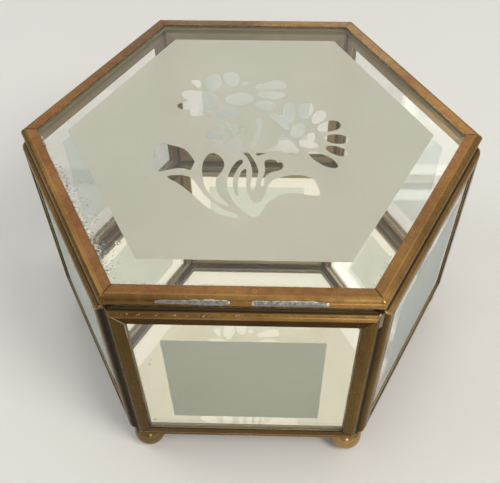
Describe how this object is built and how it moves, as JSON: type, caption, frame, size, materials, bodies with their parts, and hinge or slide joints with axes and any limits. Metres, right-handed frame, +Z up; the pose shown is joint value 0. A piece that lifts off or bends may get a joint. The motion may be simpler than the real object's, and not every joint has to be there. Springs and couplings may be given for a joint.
{
  "type": "hexagonal glass casket box",
  "caption": "Hexagonal keepsake casket of frosted and clear glass panes edged in brass came, with a hinged lid, a mirror floor and ball feet.",
  "frame": {"origin": "middle of the footprint, on the surface that the feet stand on", "axes": "+Z up, front towards -Y, hinge along +Y, +X to the right seen from the front"},
  "size_m": [0.1496, 0.132, 0.0933],
  "materials": {
    "brass": "aged, brown flat faces and brighter round backs",
    "foot_brass": "aged, worn bright",
    "hinge_brass": "aged, semi-bright",
    "solder": "dull tin-lead solder",
    "lid_glass": "clear margins, frosted middle field with a clear floral spray",
    "side_glass": "clear, with a frosted square",
    "mirror": "silvered glass, specked near its edges"
  },
  "bodies": {
    "body": {"base_mirror": "mirror", "base_came_front": "brass", "pane_front": "side_glass", "top_came_front": "brass", "right_came_front": "brass", "bottom_came_front": "brass", "left_came_front": "brass", "base_came_front_right": "brass", "pane_front_right": "side_glass", "top_came_front_right": "brass", "right_came_front_right": "brass", "bottom_came_front_right": "brass", "left_came_front_right": "brass", "base_came_back_right": "brass", "pane_back_right": "side_glass", "top_came_back_right": "brass", "right_came_back_right": "brass", "bottom_came_back_right": "brass", "left_came_back_right": "brass", "base_came_back": "brass", "pane_back": "side_glass", "top_came_back": "brass", "right_came_back": "brass", "bottom_came_back": "brass", "left_came_back": "brass", "base_came_back_left": "brass", "pane_back_left": "side_glass", "top_came_back_left": "brass", "right_came_back_left": "brass", "bottom_came_back_left": "brass", "left_came_back_left": "brass", "base_came_front_left": "brass", "pane_front_left": "side_glass", "top_came_front_left": "brass", "right_came_front_left": "brass", "bottom_came_front_left": "brass", "left_came_front_left": "brass", "foot_right_front": "foot_brass", "foot_right": "foot_brass", "foot_right_back": "foot_brass", "foot_left_back": "foot_brass", "foot_left": "foot_brass", "foot_left_front": "foot_brass", "hinge_tube_left": "hinge_brass", "hinge_tube_right": "hinge_brass", "hinge_pin": "hinge_brass", "corner_solder": "solder", "base_solder": "solder", "foot_solder": "solder"},
    "lid": {"lid_glass": "lid_glass", "lid_came_front": "brass", "lid_came_front_right": "brass", "lid_came_back_right": "brass", "lid_came_back": "brass", "lid_came_back_left": "brass", "lid_came_front_left": "brass", "lid_solder": "solder", "hinge_tube_lid": "hinge_brass"}
  },
  "joints": [
    {"name": "lid_hinge", "type": "hinge", "parent": "body", "child": "lid", "pos_m": [0, 0.06393, 0.08898], "axis": [-1, 0, 0], "range_deg": [0, 103]}
  ]
}
